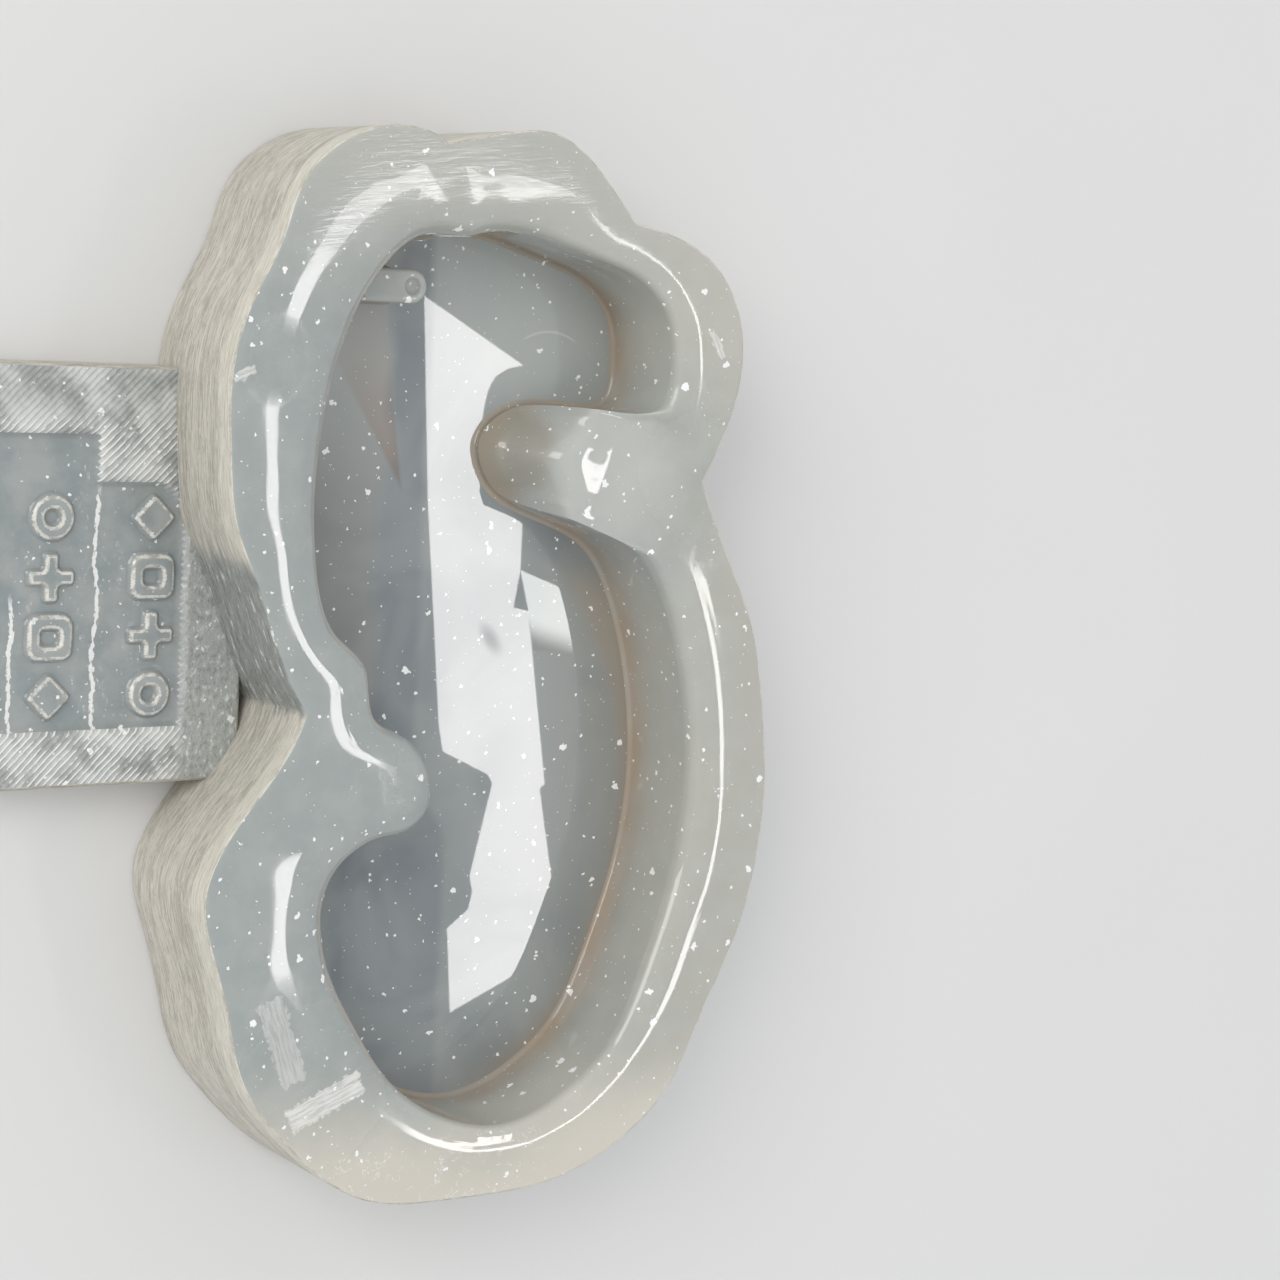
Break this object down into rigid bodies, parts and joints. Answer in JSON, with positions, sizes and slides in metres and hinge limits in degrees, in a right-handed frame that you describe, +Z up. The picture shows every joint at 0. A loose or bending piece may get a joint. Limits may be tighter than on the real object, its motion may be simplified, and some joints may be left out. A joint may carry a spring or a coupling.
{
  "type": "resin casting mould",
  "caption": "Open clear silicone mould with a thick wall around a charm-shaped cavity, a ring-hole peg and a flexible pull tab.",
  "frame": {"origin": "middle of the underside, at the centre of the whole part's bounding box", "axes": "+Z up out of the open cavity, +Y along the mould's length towards the ring-hole peg, the pull tab points along -X"},
  "size_m": [0.0666, 0.0831, 0.0125],
  "materials": {
    "silicone_floor": "mirror-smooth clear silicone",
    "silicone_wall": "glossy translucent silicone, faint layer lines outside",
    "silicone_tab": "translucent silicone with fine diagonal lines",
    "silicone_marks": "glossy translucent silicone"
  },
  "bodies": {
    "mould_body": {"base_slab": "silicone_floor", "outer_wall": "silicone_wall", "cavity_tongue": "silicone_wall", "waist_lobe": "silicone_wall", "ring_hole_peg": "silicone_wall", "tab_flex_strip": "silicone_tab", "tab_root_border_upper": "silicone_tab", "tab_root_border_lower": "silicone_tab", "root_mark_1": "silicone_marks", "root_mark_2": "silicone_marks", "root_mark_3": "silicone_marks", "root_mark_4": "silicone_marks"},
    "tab": {"tab_end_plate": "silicone_tab", "tab_end_border_upper": "silicone_tab", "tab_end_border_lower": "silicone_tab", "end_mark_1": "silicone_marks", "end_mark_2": "silicone_marks", "end_mark_3": "silicone_marks", "end_mark_4": "silicone_marks"}
  },
  "joints": [
    {"name": "tab_flex", "type": "hinge", "parent": "mould_body", "child": "tab", "pos_m": [-0.0224, 0.00695, 0.00195], "axis": [0, 1, 0], "range_deg": [-60, 60], "stiffness_Nm_per_rad": 0.012, "deforming": ["tab_flex_strip"]}
  ]
}
